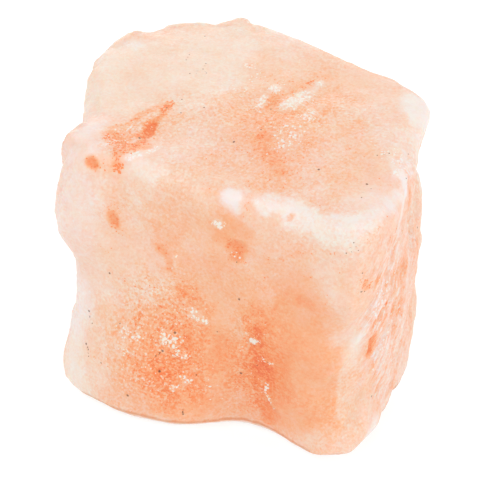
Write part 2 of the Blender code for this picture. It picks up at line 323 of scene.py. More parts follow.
BLOTCHES = (
    Stroke("left strand", 0.6, 0.75, ((-17, -2, 56), (-20, -6, 55), (-21, -9, 54), (-24, -12, 54)), 0.7),
    Stroke("right strand", 0.72, 0.9, ((-16, -2, 56), (-16, -5, 55), (-18, -9, 54)), 0.7),
    Stroke(
        "streak body", 0.75, 1.8,
        ((-23, -14, 54), (-20, -13, 54), (-18, -12, 54), (-16, -15, 54), (-20, -17, 54)), 0.8, 0.6,
    ),
    Stroke("streak heart", 1.1, 0.8, ((-17, -8, 55), (-17, -10, 54)), 0.8),
    Stroke(
        "streak band", 0.95, 0.9,
        ((-17, -10, 54), (-17, -13, 54), (-18, -16, 54), (-20, -17, 54)), 0.8, 0.7,
    ),
    Stroke("streak foot", 0.52, 1.6, ((-23, -20, 52), (-20, -20, 52))),
    Stroke("streak tail", 0.82, 1.2, ((-20, -17, 54), (-20, -19, 53), (-20, -21, 52)), 0.8, 0.6),
    Stroke("left dot", 1.0, 1.1, ((-25, -20, 52), (-24, -21, 52)), 0.6),
    Stroke("left spot trail", 0.55, 1.4, ((-20, -21, 51), (-19, -23, 46))),
    Stroke("left spot halo", 0.56, 2.2, ((-19, -23, 46), (-19, -23, 41))),
    Stroke("left spot", 0.95, 0.9, ((-20, -22, 43), (-19, -23, 41)), 0.7),
    Stroke("left patch vein", 0.58, 1.0, ((-13, -22, 47), (-7, -23, 47))),
    Stroke("front vein", 0.66, 1.5, ((-11, -23, 43), (-10, -24, 39))),
    Stroke("front vein end", 0.82, 0.8, ((-10, -24, 39), (-8, -24, 37), (-8, -24, 35))),
    Stroke("front flame top", 0.68, 1.2, ((2, -24, 51), (4, -25, 49), (5, -26, 47))),
    Stroke("front flame left", 0.7, 2.0, ((2, -25, 49), (2, -25, 46))),
    Stroke("front flame", 0.76, 2.1, ((2, -25, 46), (5, -26, 47), (5, -26, 45))),
    Stroke("front flame heart", 0.98, 1.2, ((4, -26, 44), (5, -26, 44), (5, -26, 42)), 0.9, 0.7),
    Stroke("middle heart", 1.02, 2.0, ((10, -28, 27), (10, -27, 22), (10, -26, 18)), 0.9, 0.6),
    Stroke("middle heart foot", 1.22, 1.7, ((11, -26, 19), (11, -26, 14)), 0.9, 0.6),
    Stroke("middle foot", 1.0, 1.5, ((11, -26, 14), (13, -25, 6)), 0.9, 0.6),
    Stroke("right spot", 0.88, 1.3, ((18, -28, 37), (19, -28, 37))),
    Stroke("crest warm spot", 0.55, 2.2, ((19, -12, 56), (20, -14, 56))),
    Stroke("flake bed left", 1.0, 1.4, ((3, 0, 57), (3, 4, 57)), 0.9, 0.6),
    Stroke("flake bed right", 0.66, 1.5, ((3, -1, 57), (8, -1, 57))),
    Stroke("flake bed", 0.6, 1.8, ((4, 3, 57), (6, 7, 58), (9, 13, 58))),
    Stroke("flake seam", 0.28, 1.1, ((5, 1, 57), (7, 4, 58), (8, 7, 58), (10, 12, 58)), 0.9, 0.5),
    Stroke("flake bed foot", 0.74, 1.0, ((5, 0, 57), (8, 0, 57))),
    Stroke("top stain", 0.6, 4.0, ((3, -3, 57), (6, -12, 56), (9, -18, 55))),
    Stroke("top stain heart", 0.84, 1.9, ((5, -8, 56), (7, -12, 56), (9, -16, 56))),
    Stroke("top stain foot", 0.62, 2.0, ((7, -17, 55), (7, -20, 55))),
    Stroke("top left smudge", 0.58, 1.4, ((-3, -2, 57), (-1, -4, 57))),
    Stroke("top far right", 0.6, 3.6, ((13, 8, 58), (11, 2, 58))),
    Stroke("top far spot", 0.58, 2.2, ((10, 15, 58),)),
    Stroke("top middle right", 0.66, 3.4, ((9, -2, 57), (8, -6, 56))),
    Stroke("top right band", 0.58, 2.4, ((19, -1, 57), (13, -5, 57))),
    Stroke("rim line", 0.64, 0.5, ((31, -9, 56), (32, -10, 54), (32, -10, 51), (32, -11, 48)), 0.8),
    Stroke("right crest ground", 0.42, 2.0, ((27, -4, 57), (28, -8, 57))),
    Stroke("chamfer flame", 0.62, 1.0, ((32, -17, 33), (31, -19, 29)), 0.9, 0.7),
    Stroke("chamfer flame foot", 0.88, 1.0, ((30, -20, 27), (30, -21, 23)), 0.9, 0.9),
    Stroke("chamfer flame end", 1.0, 0.6, ((30, -21, 26), (30, -21, 23)), 0.7, 0.6),
    Stroke("chamfer spot", 0.85, 1.0, ((29, -28, 43),), 0.9, 0.7),
    Stroke("crest spot", 0.6, 0.5, ((14, -25, 53), (14, -25, 52)), 0.6),
)

STAINS = (
    # The hidden sides.
    Stroke("back dots", 0.55, 6.0, ((5, 26, 32), (1, 27, 18))),
    Stroke("left dots", 0.5, 5.0, ((-32, 6, 40), (-32, 3, 22))),
    # The sides that show.
    Stroke("left strand dots", 0.4, 0.8, ((-17, -2, 56), (-20, -6, 55), (-24, -12, 54)), 0.8),
    Stroke("right strand dots", 0.9, 1.0, ((-16, -1, 56), (-16, -5, 55)), 0.8),
    Stroke("streak dots", 0.86, 1.7, ((-17, -9, 55), (-17, -13, 54), (-18, -17, 54), (-23, -15, 54)), 0.8),
    Stroke("streak tail dots", 0.85, 1.5, ((-20, -17, 54), (-20, -19, 53), (-19, -21, 52)), 0.8),
    Stroke("lobe dots", 0.42, 7.0, ((-9, -25, 28), (-9, -27, 20), (-6, -29, 12)), 0.8),
    Stroke("lobe heart dots", 0.6, 2.6, ((-6, -26, 24), (-5, -28, 18), (-8, -29, 12))),
    Stroke("middle dots", 0.55, 3.8, ((9, -27, 30), (9, -26, 20), (10, -25, 8))),
    Stroke("front flame dots", 0.65, 1.4, ((4, -26, 44), (5, -26, 44), (5, -26, 42))),
    Stroke("vein dots", 0.5, 1.2, ((-11, -23, 42), (-8, -24, 36))),
    Stroke("left spot dots", 0.55, 1.3, ((-20, -22, 44), (-19, -23, 40))),
    Stroke("left dot dots", 0.7, 1.3, ((-25, -20, 52), (-23, -21, 52))),
    Stroke("flake bed dots", 0.85, 1.4, ((3, 0, 57), (3, 4, 57))),
    Stroke("flake bed line dots", 0.45, 1.4, ((5, 6, 57), (9, 13, 58))),
    Stroke("flake seam dots", -0.4, 0.9, ((5, 1, 57), (7, 4, 58), (8, 7, 58), (10, 12, 58)), 0.7, 0.5),
    Stroke("top dots", 0.42, 6.5, ((5, 6, 57), (4, -4, 57), (7, -14, 55))),
    Stroke("chamfer dots", 0.55, 1.4, ((31, -18, 32), (30, -21, 24))),
    Stroke("chamfer spot dots", 0.75, 1.3, ((28, -28, 44), (30, -27, 42))),
)

GRAINS = (
    # The hidden sides.
    Stroke("back grains", 0.9, 9.0, ((4, 26, 32), (0, 27, 14))),
    Stroke("left grains", 0.85, 8.0, ((-32, 6, 38), (-32, 2, 18))),
    # The sides that show.
    Stroke("streak grains", 1.0, 3.0, ((-16, -2, 56), (-18, -9, 54), (-22, -15, 54)), 0.8),
    Stroke("top grains", 0.7, 7.0, ((-12, -4, 56), (4, 0, 57), (14, 2, 58)), 0.8),
    Stroke("top front grains", 0.55, 5.0, ((-6, -14, 55), (10, -14, 56)), 0.8),
    Stroke("lobe grains", 0.95, 8.0, ((-9, -26, 26), (-8, -28, 14)), 0.7),
    Stroke("middle grains", 0.8, 4.0, ((9, -27, 26), (8, -26, 12)), 0.8),
    Stroke("smooth right front", 0.2, 6.0, ((19, -29, 40), (20, -29, 20)), 0.8),
    Stroke("smooth upper left", 0.25, 9.0, ((-26, 4, 56), (-12, 14, 58)), 0.8),
)

STREAKS = (
    Stroke("right back fibres", 0.55, 9.0, ((33, 0, 44), (33, 0, 16)), 0.7),
    Stroke("right fibres", 1.0, 8.0, ((31, -20, 42), (32, -16, 30), (33, -12, 14)), 0.5),
    Stroke("rim fibres", 0.8, 5.0, ((32, -6, 52), (32, 2, 40)), 0.6),
)

FLAKES = (
    # The hidden sides.
    Stroke("back flakes", 0.65, 2.0, ((9, 25, 32), (5, 26, 24), (6, 26, 16))),
    Stroke("back low flakes", 0.8, 1.3, ((-5, 28, 18), (-8, 28, 12))),
    Stroke("left flakes", 0.7, 1.6, ((-32, 9, 32), (-32, 4, 26))),
    Stroke("right back flakes", 0.45, 3.0, ((33, 1, 40), (33, -2, 26))),
    # The sides that show.
    Stroke("top flakes", 0.36, 7.0, ((-2, 8, 57), (8, 3, 58), (8, -8, 57))),
    Stroke("top flake line", 0.9, 1.4, ((6, 2, 57), (7, 4, 58), (8, 7, 58)), 0.9, 0.7),
    Stroke("top flake line heart", 0.95, 0.8, ((6, 3, 58), (7, 6, 58)), 0.9, 0.7),
    Stroke("top flake line end", 0.8, 0.8, ((8, 7, 58), (10, 12, 58)), 0.9, 0.7),
    Stroke("top flake", 1.3, 1.1, ((2, 7, 58),), 0.8),
    Stroke("top far flake", 0.45, 1.3, ((-4, 12, 58), (-6, 13, 58))),
    Stroke("top near flakes", 0.85, 1.1, ((1, 4, 57), (1, 1, 57))),
    Stroke("top right flakes", 0.9, 1.1, ((11, 1, 58), (10, -1, 57))),
    Stroke("top right flake", 0.9, 0.9, ((12, 4, 58),)),
    Stroke("top pale flakes", 0.65, 2.0, ((9, -5, 57), (8, -9, 56))),
    Stroke("top right edge flakes", 0.4, 2.0, ((25, -4, 57), (28, -7, 56))),
    Stroke("streak flakes", 0.3, 2.6, ((-23, -15, 54), (-19, -18, 54), (-15, -14, 54))),
    Stroke("streak edge flakes", 0.6, 0.6, ((-25, -13, 54), (-22, -12, 54), (-20, -10, 54)), 0.8),
    Stroke("streak near flakes", 0.8, 0.8, ((-18, -19, 54), (-15, -17, 54), (-14, -15, 54)), 0.8),
    Stroke("front vein flakes", 0.6, 0.9, ((-7, -24, 38), (-7, -24, 36)), 0.8),
    Stroke("front flame flakes", 1.1, 1.1, ((1, -25, 48),), 0.8),
    Stroke("front flame low flakes", 0.55, 0.7, ((3, -25, 43), (5, -26, 42), (7, -26, 41)), 0.9, 0.7),
    Stroke("lobe flakes", 0.22, 6.0, ((-10, -26, 24), (-6, -28, 15))),
    Stroke("lobe upper flake", 0.95, 1.3, ((-3, -25, 27), (-1, -25, 26))),
    Stroke("lobe flake", 0.92, 1.5, ((-8, -26, 21), (-6, -27, 20))),
    Stroke("lobe lower flake", 0.85, 1.2, ((-5, -27, 18), (-4, -27, 18))),
    Stroke("lobe left flake", 0.9, 1.1, ((-13, -27, 20),), 0.8),
    Stroke("lobe far left flakes", 0.6, 1.8, ((-16, -27, 20), (-16, -28, 17))),
    Stroke("lobe foot flake", 0.9, 0.9, ((-5, -29, 11),)),
    Stroke("lobe right flakes", 0.75, 1.4, ((-3, -28, 13),)),
    Stroke("valley flakes", 0.5, 1.6, ((2, -27, 13), (3, -27, 9))),
    Stroke("middle flake", 1.4, 1.1, ((9, -27, 24),), 0.6),
    Stroke("middle low flakes", 0.7, 0.9, ((11, -27, 20), (13, -27, 20))),
    Stroke("middle crack", 0.85, 0.5, ((12, -26, 14), (12, -26, 12), (14, -26, 9)), 0.8),
    Stroke("right flakes", 0.34, 6.0, ((31, -20, 44), (32, -15, 30), (33, -12, 16)), 0.8),
    Stroke("right crest flakes", 0.6, 1.5, ((29, -5, 57), (31, -9, 56), (32, -12, 54))),
    Stroke("right crest flake line", 0.95, 0.9, ((28, -4, 57), (28, -8, 57), (30, -11, 56)), 0.9, 0.7),
    Stroke("right crest side flakes", 0.5, 1.8, ((28, -4, 57), (29, -8, 57))),
    Stroke("right upper flakes", 0.5, 1.6, ((31, -21, 46), (31, -21, 40))),
    Stroke("chamfer flakes", 0.68, 1.6, ((31, -21, 38), (30, -22, 34))),
    Stroke("chamfer low flakes", 0.45, 1.8, ((32, -18, 24), (31, -20, 18))),
)

HUES = (
    Stroke("cream top left", 0.1, 13.0, ((-26, 0, 55), (-14, 10, 58)), 0.6),
    Stroke("pink right", 1.0, 12.0, ((33, -14, 44), (34, -8, 12)), 0.5),
    Stroke("pink blob", 0.9, 2.5, ((3, -24, 53),), 0.6),
    Stroke("pink left", 0.85, 9.0, ((-30, -14, 48), (-30, -18, 18)), 0.6),
    Stroke("orange front", 0.1, 12.0, ((-8, -27, 24), (10, -27, 24)), 0.6),
)

# Later strokes of a layer lie over earlier ones.
PAINT: dict[Layer, tuple[Stroke, ...]] = {
    Layer.TINT: WASHES + VEILS + BLOTCHES,
    Layer.STAIN: STAINS,
    Layer.GRAIN: GRAINS,
    Layer.FIBRE: STREAKS,
    Layer.FLAKE: FLAKES,
    Layer.ROSE: HUES,
}

SPECKS: tuple[Point, ...] = (
    (-1, -10, 56), (16, -14, 56), (25, -15, 56), (32, 1, 34), (-20, -23, 30), (-6, -26, 22),
    (-8, -29, 14), (-3, -29, 5), (-14, -30, 7), (7, -26, 15), (-24, -23, 20), (-24, -26, 14),
    (-8, -27, 18), (6, -26, 33), (31, -19, 11), (-18, -13, 54), (-14, 29, 41), (14, 22, 44),
    (17, 21, 16), (4, 26, 8), (-32, 8, 44), (-32, 12, 22), (33, 6, 34),
)

FAINT_SPECKS: tuple[Point, ...] = (
    (-12, 9, 57), (-13, -4, 56), (3, -6, 57), (30, -4, 56), (26, -16, 56), (31, -10, 55),
    (26, -28, 52), (-3, -29, 6), (5, -26, 41), (-17, 14, 57), (-17, 12, 57), (-16, 21, 58),
    (-13, 12, 57), (-13, 10, 57), (-15, 8, 57), (3, 1, 57), (27, -6, 57), (25, -7, 57),
    (25, -19, 55), (27, -29, 51), (25, -29, 50), (28, -28, 46), (29, -28, 42), (28, -28, 42),
    (-1, -28, 14), (2, -26, 24), (-17, -26, 21), (-20, -28, 12), (-24, -24, 19), (-23, -24, 18),
    (-23, -26, 13), (-23, -27, 12), (-13, 29, 39), (-4, 28, 30), (-32, -4, 30), (-31, 16, 20),
    (33, 4, 22), (-16, -3, 55), (-14, 0, 56), (-9, -2, 56), (-19, -24, 30), (12, -27, 20),
    (10, -26, 18), (-9, -28, 17),
)

SPECK_SIZES = {1.1: SPECKS, 0.6: FAINT_SPECKS}


def direction(azimuth: float, tilt: float) -> Array:
    """The unit vector at this compass angle from +X towards +Y, and this angle above the horizon.

    Args:
        azimuth: the compass angle.
        tilt: the angle above the horizon.

    Returns:
        The vector (cos a cos t, sin a cos t, sin t).
    """
    a, t = np.radians(azimuth), np.radians(tilt)
    return np.array([np.cos(a) * np.cos(t), np.sin(a) * np.cos(t), np.sin(t)])


def fibre_axes() -> tuple[Array, Array, Array]:
    """The directions along the fibres, level across them, and square to both of these."""
    azimuth, tilt = FIBRE_WAY
    along = direction(azimuth, tilt)
    across = direction(azimuth - 90, 0)
    return along, across, np.cross(along, across)


def smooth_max(a: Array, b: Array, width: float) -> Array:
    """The larger of two fields, raised by a parabola where they differ by less than width.

    Args:
        a: the first field.
        b: the second field.
        width: the difference below which the two are blended.

    Returns:
        max(a, b) plus a quarter of the width times the square of their nearness.
    """
    near = np.maximum(width - np.abs(a - b), 0.0) / width
    return np.maximum(a, b) + near * near * width / 4


def fade(value: Array, start: float, end: float) -> Array:
    """0 up to start, 1 beyond end, and between them a step that is smooth at both ends.

    Args:
        value: where the step is read.
        start: where it leaves 0.
        end: where it reaches 1, above or below start.

    Returns:
        The quintic 6t^5 - 15t^4 + 10t^3 of the share t of the way from start to end.
    """
    t = np.clip((value - start) / (end - start), 0.0, 1.0)
    return t * t * t * (t * (t * 6 - 15) + 10)


def corner_value(x: Array, y: Array, z: Array, seed: int) -> Array:
    """A fixed scrambled value from -1 to 1 for each whole-numbered corner of a lattice.

    Args:
        x: the corners' first coordinates.
        y: their second coordinates.
        z: their third coordinates.
        seed: picks one of many lattices.

    Returns:
        The corners' values: the coordinates times large primes, mixed by shifts.
    """
    mixed = (
        x.astype(np.uint32) * np.uint32(374761393)
        + y.astype(np.uint32) * np.uint32(668265263)
        + z.astype(np.uint32) * np.uint32(2246822519)
        + np.uint32(seed * 3266489917 & 0xFFFFFFFF)
    )
    mixed = (mixed ^ (mixed >> np.uint32(13))) * np.uint32(1274126177)
    mixed = (mixed ^ (mixed >> np.uint32(15))) * np.uint32(2654435761)
    return (mixed ^ (mixed >> np.uint32(16))) / 2147483648.0 - 1.0


def ripple(points: Array, size: float, seed: int, blend: float = 1.0) -> Array:
    """Noise from -1 to 1: lattice values of this cell size, blended from corner to corner.

    Args:
        points: where the noise is read.
        size: the side of a lattice cell.
        seed: picks the lattice's values.
        blend: the share of a cell over which one corner's value goes over into the next: at 1 the
            noise is smooth, and near 0 it makes level blocks with soft steps between them.

    Returns:
        The blended values.
    """
    scaled = points / size
    corner = np.floor(scaled).astype(np.int64)
    ease = fade(scaled - corner, (1 - blend) / 2, (1 + blend) / 2)
    shares = (1 - ease, ease)
    total = np.zeros(points.shape[:-1])
    for i, j, k in np.ndindex(2, 2, 2):
        weight = shares[i][..., 0] * shares[j][..., 1] * shares[k][..., 2]
        total += weight * corner_value(corner[..., 0] + i, corner[..., 1] + j, corner[..., 2] + k, seed)
    return total


def ridges(points: Array, size: float, seed: int) -> Array:
    """Noise from -1 to 1 that is folded at 0, which makes sharp ridges: 1 less twice its distance from 0."""
    return 1 - 2 * np.abs(ripple(points, size, seed))


def waves(points: Array, parts: tuple[Wave, ...]) -> Array:
    """The sum of a few waves: each is its height times the ripple of its size and seed."""
    return sum(part.height * ripple(points, part.size, part.seed, part.blend) for part in parts)


def line_distance(points: Array, line: tuple[Point, ...]) -> Array:
    """The distance from each point to a line drawn through a few places.

    Args:
        points: the points to measure from.
        line: the places, in order; a single place is a line of no length.

    Returns:
        The least distance over the line's stretches, each to the nearest spot on that stretch.
    """
    ends = line if len(line) > 1 else (line[0], line[0])
    nearest = np.full(len(points), np.inf)
    for start, end in zip(np.array(ends[:-1], float), np.array(ends[1:], float)):
        span = end - start
        share = np.clip((points - start) @ span / max(span @ span, 1e-9), 0.0, 1.0)
        gap = points - start - share[:, None] * span
        nearest = np.minimum(nearest, np.sqrt((gap * gap).sum(axis=1)))
    return nearest


def cube_grid(cells: int) -> tuple[Array, Array, Array]:
    """A square grid on each of a cube's six faces, joined along the edges.

    Args:
        cells: the number of grid cells along each side of the cube.

    Returns:
        The points from -1 to 1, the four-cornered faces wound so that they face outwards, and the
        place of each face's corners on a map three tiles wide and two tiles high.
    """
    margin = 0.005
    steps = np.arange(cells + 1)
    first, second = np.meshgrid(steps, steps, indexing="ij")
    inset = np.stack([first, second], axis=-1) / cells * (1 - 2 * margin) + margin
    lattices, tiles = [], []
    for axis in range(3):
        for end in (0, 1):
            lattice = np.empty((cells + 1, cells + 1, 3), int)
            lattice[..., axis] = end * cells
            lattice[..., (axis + 1) % 3] = first if end else second
            lattice[..., (axis + 2) % 3] = second if end else first
            lattices.append(lattice)
            tiles.append((inset + np.array([axis, end])) / np.array([3.0, 2.0]))
    lattice = np.stack(lattices)
    code = (lattice[..., 0] * (cells + 1) + lattice[..., 1]) * (cells + 1) + lattice[..., 2]
    _, keep, index = np.unique(code.ravel(), return_index=True, return_inverse=True)
    index = index.reshape(code.shape)
    places = lattice.reshape(-1, 3)[keep] / cells * 2.0 - 1.0
    low, high = slice(None, -1), slice(1, None)
    corners = ((low, low), (high, low), (high, high), (low, high))
    quads = np.stack([index[:, a, b] for a, b in corners], axis=-1).reshape(-1, 4)
    tile = np.stack([np.stack(tiles)[:, a, b] for a, b in corners], axis=-2).reshape(-1, 2)
    return places, quads, tile


@dataclass
class SaltBlock:
    """The block itself: its cuts, swells and relief, and its painted layers.

    calm_reach is how far from the straight edge the salt stays even, and calm_share how even it is
    there; search_from, search_steps and search_stride say where the search for the surface starts
    on a ray, how often it steps, and which share of the depth each step goes. flutes to sharpness
    are the heights of those parts of the relief. bolder_clouds is how much bolder the clouds are on
    the hidden sides, and pale_edges and flake_halo how much paler edges and the salt at flakes are.
    """

    cells: int = 128
    quick_cells: int = 64
    edge_crowding: float = 0.15
    stray: float = 0.1
    stray_size: float = 0.9
    heart: Point = (0.0, 0.0, 29.0)
    foot_rounding: float = 5.0
    foot_flat: float = 0.02
    calm_share: float = 0.95
    calm_reach: float = 6.0
    search_from: float = 75.0
    search_steps: int = 30
    search_stride: float = 0.7
    slope_step: float = 0.15
    edge_inset: float = 3.0
    square_edge: float = 0.9
    flutes: float = 0.6
    crust: float = 0.1
    strands: float = 0.28
    flakes: float = 0.12
    grooves: float = 0.35
    chips: float = 0.35
    sharpness: float = 0.5
    bolder_clouds: float = 1.2
    pale_edges: float = 0.06
    flake_halo: float = 0.15
    layers: dict[Layer, Array] = field(default_factory=dict)

    def cut_depth(self, cut: Cut, points: Array, wander: Array) -> Array:
        """The distance in front of a cut's plane, plus the drop of each ledge past its wandering line.

        Args:
            cut: the cut.
            points: where the distance is read.
            wander: noise from -1 to 1, which makes the ledges' lines wander.

        Returns:
            The distance, below 0 behind the plane.
        """
        facing = direction(cut.azimuth, cut.tilt)
        level = direction(cut.azimuth + 90, 0)
        upwards = np.cross(facing, level)
        offset = points - np.array(cut.through, float)
        depth = offset @ facing
        for ledge in cut.ledges:
            across = level * np.cos(np.radians(ledge.turn)) + upwards * np.sin(np.radians(ledge.turn))
            reach = offset @ across + ledge.wander * wander
            depth = depth + ledge.drop * fade(reach, ledge.offset, ledge.offset + ledge.width)
        return depth

    def swell_height(self, points: Array) -> Array:
        """The sum of the swells: each is its height times a bell curve of the distance over its spread."""
        total = np.zeros(len(points))
        for swell in SWELLS:
            reach = (points - np.array(swell.at, float)) / np.array(swell.spread, float)
            total += swell.height * np.exp(-(reach * reach).sum(axis=-1))
        return total

    def calm(self, points: Array) -> Array:
        """1 away from the straight edge, and less near it by a bell curve of the distance."""
        reach = line_distance(points, STRAIGHT_EDGE) / self.calm_reach
        return 1.0 - self.calm_share * np.exp(-(reach**2))

    def hidden(self, normals: Array) -> Array:
        """1 where the surface faces the back or the left, and 0 where it faces elsewhere."""
        return fade(normals @ direction(HIDDEN_WAY, 0), *HIDDEN_FACING)

    def behind(self, points: Array) -> Array:
        """1 on the broken sides behind, and 0 on the worn front, top and right."""
        reach = points @ direction(BROKEN_WAY, 0)
        return fade(reach, *BROKEN_REACH) * fade(points[..., 2], *BROKEN_BELOW)

    def block_height(self, points: Array) -> Array:
        """Square cleavage steps, faint where the block is worn and bold on the broken sides behind."""
        worn, broken = BLOCK_HEIGHTS
        return (worn + (broken - worn) * self.behind(points)) * waves(points + BLOCK_SHIFT, BLOCKS)

    def along_fibres(self, points: Array, squeeze: float, stretch: float) -> Array:
        """The points in the fibres' own axes, squeezed across and stretched along the fibres.

        Args:
            points: the points to turn.
            squeeze: the scale level and across the fibres.
            stretch: the scale along the fibres.

        Returns:
            The dot products with the three axes of the fibres, times their scales.
        """
        along, across, upwards = fibre_axes()
        return np.stack([points @ across * squeeze, points @ upwards, points @ along * stretch], axis=-1)

    def flute_height(self, points: Array, depths: dict[str, Array]) -> Array:
        """Slanting flutes where the two right cuts are outermost, and the salt split along its fibres.

        Args:
            points: where the height is read.
            depths: the distances in front of the cuts, by name.

        Returns:
            Ridges stretched along the fibres, times the right cuts' share.
        """
        side = np.maximum(depths["right"], depths["front right"])
        share = fade(side - np.maximum(depths["front"], depths["top"]), *FLUTE_BORDER)
        return share * self.flutes * ridges(self.along_fibres(points, 0.6, 0.14), 5.2, 11)

    def depth(self, points: Array) -> Array:
        """The depth field: below 0 inside the block, 0 on its surface, above 0 outside.

        Args:
            points: where the field is read.

        Returns:
            The smooth maximum of the cuts' distances, less swells, ripples, steps and flutes, and then
            smoothly cut off at the foot.
        """
        wander = waves(points, WANDER)
        depths = {cut.name: self.cut_depth(cut, points, wander) for cut in CUTS}
        depth = depths[CUTS[0].name]
        for cut in CUTS[1:]:
            depth = smooth_max(depth, depths[cut.name], cut.rounding)
        depth = depth - self.swell_height(points) - self.calm(points) * waves(points, WORN)
        depth = depth - self.block_height(points) - self.flute_height(points, depths)
        return smooth_max(depth, -points[..., 2], self.foot_rounding)

    def guides(self, cube: Array) -> Array:
        """Moves points of the cube from -1 to 1 onto a box whose edges follow the block's own.

        Args:
            cube: the points on the cube.

        Returns:
            The points on the box, with the grid lines crowded a little towards its edges, and each
            strayed a little so that no line shows.
        """
        crowded = (1 - self.edge_crowding) * cube + self.edge_crowding * np.sin(cube * np.pi / 2)
        share = (crowded + 1) / 2
        x = LEFT_X + (RIGHT_X - LEFT_X) * share[:, 0]
        outline = (BACK_CORNER, BACK_SHOULDER, BACK_PEAK, BACK_END)
        back = np.interp(x, [p[0] for p in outline], [p[1] for p in outline])
        y = FRONT_Y + (back - FRONT_Y) * share[:, 1]
        z = (TOP_Z + TOP_SLOPE * y) * share[:, 2]
        placed = np.stack([x, y, z], axis=-1)
        strays = [ripple(placed, self.stray_size, seed) for seed in STRAY_SEEDS]
        return placed + self.stray * np.stack(strays, axis=-1)

    def surface(self, guides: Array) -> Array:
        """Where the ray from the heart through each guide point meets the surface.

        Args:
            guides: the guide points.

        Returns:
            The points reached by stepping inwards from outside, each step a share of the depth.
        """
        heart = np.array(self.heart)
        rays = guides - heart
        rays = rays / np.linalg.norm(rays, axis=1, keepdims=True)
        reach = np.full(len(rays), self.search_from)
        for _ in range(self.search_steps):
            reach = reach - self.search_stride * self.depth(heart + rays * reach[:, None])
        return heart + rays * reach[:, None]

    def normals(self, points: Array) -> Array:
        """The outward unit normals: the depth field's slope along each axis, made one long."""
        here = self.depth(points)
        slopes = [self.depth(points + self.slope_step * axis) - here for axis in np.eye(3)]
        normals = np.stack(slopes, axis=-1)
        return normals / np.linalg.norm(normals, axis=1, keepdims=True)

    def edge(self, points: Array, normals: Array) -> Array:
        """How far each point lies on an outer edge: 0 on a flat face, 1 on a square edge.

        Args:
            points: points on the surface.
            normals: the outward normals there.

        Returns:
            How much less deep than the inset a point lies that is moved in by it, over a square
            edge's value.
        """
        moved = self.depth(points - self.edge_inset * normals)
        return np.clip((moved + self.edge_inset) / self.square_edge, 0.0, 1.0)

    def paint(self, points: Array, edge: Array, hidden: Array) -> None:
        """Fills the layers: an even ground with soft clouds, and then the strokes, in order.

        Veils are cleared of specks and grains, and edges and the salt beside flakes turn paler.

        Args:
            points: points on the surface.
            edge: how far each point lies on an outer edge.
            hidden: 1 on the back and the left, where the clouds are bolder.
        """
        clouds = waves(points, CLOUDS) * (1.0 + self.bolder_clouds * hidden)
        border = waves(points, BORDERS)
        for layer, (level, uneven) in GROUND.items():
            drift = clouds if layer is Layer.TINT else 0.0
            values = np.full(len(points), level) + waves(points, uneven) + drift
            for stroke in PAINT[layer]:
                distance = line_distance(points, stroke.line) + stroke.ragged * stroke.width * border
                inner, outer = stroke.width * (1 - stroke.soft), stroke.width * (1 + stroke.soft)
                share = 1.0 - fade(distance, inner, outer)
                values = values + (stroke.value + drift - values) * share
                log.debug("%s: painted over %d points", stroke.name, np.count_nonzero(share))
            self.layers[layer] = values
        tint = self.layers[Layer.TINT]
        self.layers[Layer.STAIN] = self.layers[Layer.STAIN] - (1.0 - fade(tint, *STAINED_FROM))
        self.layers[Layer.GRAIN] = self.layers[Layer.GRAIN] * fade(tint, *GRAINED_FROM)
        halo = self.flake_halo * fade(self.layers[Layer.FLAKE], *HALO_FROM)
        self.layers[Layer.TINT] = tint - self.pale_edges * edge - halo

    def relief(self, points: Array, edge: Array, hidden: Array) -> Array:
        """The height of the fine relief.

        Args:
            points: points on the surface.
            edge: how far each point lies on an outer edge.
            hidden: 1 on the back and the left, which broke more sharply.

        Returns:
            Small ripples, a crust where grains show, ridges along the fibres, raised flakes, grooves
            where the salt is most stained, and small steps and sharper edges on the broken sides; none
            at the foot.
        """
        layers = self.layers
        wear = waves(points, SCRAPES)
        crust = layers[Layer.GRAIN] * self.crust * ridges(points, 1.1, 73)
        drawn = self.along_fibres(points, 1.0, 0.16)
        strands = layers[Layer.FIBRE] * self.strands * ridges(drawn, 1.3, 74)
        flakes = self.flakes * fade(layers[Layer.FLAKE], *FLAKED_FROM)
        grooves = -self.grooves * fade(layers[Layer.TINT], *GROOVED_FROM)
        calm = self.calm(points)
        steps = np.maximum(self.behind(points), 0.8 * hidden) * calm * waves(points, STEPS)
        chips = -self.chips * edge * fade(waves(points, CHIPS), *CHIPPED_FROM)
        chips = chips * calm * np.maximum(hidden, 0.3)
        sharp = self.sharpness * edge * hidden
        height = wear + crust + strands + flakes + grooves + steps + chips + sharp
        return height * fade(points[:, 2], *FOOT_CLEAR)

    def speck_ways(self, points: Array, normals: Array) -> Array:
        """The way along the surface from the nearest speck, as a share of that speck's size.

        Args:
            points: points on the surface.
            normals: the outward normals there.

        Returns:
            Each point less its nearest speck, less the part of that along the normal, over the size.
        """
        ways = np.full(points.shape, 99.0)
        for size, specks in SPECK_SIZES.items():
            for speck in specks:
                way = (points - np.array(speck, float)) / size
                nearer = (way * way).sum(axis=1) < (ways * ways).sum(axis=1)
                ways[nearer] = way[nearer]
        return ways - (ways * normals).sum(axis=1, keepdims=True) * normals

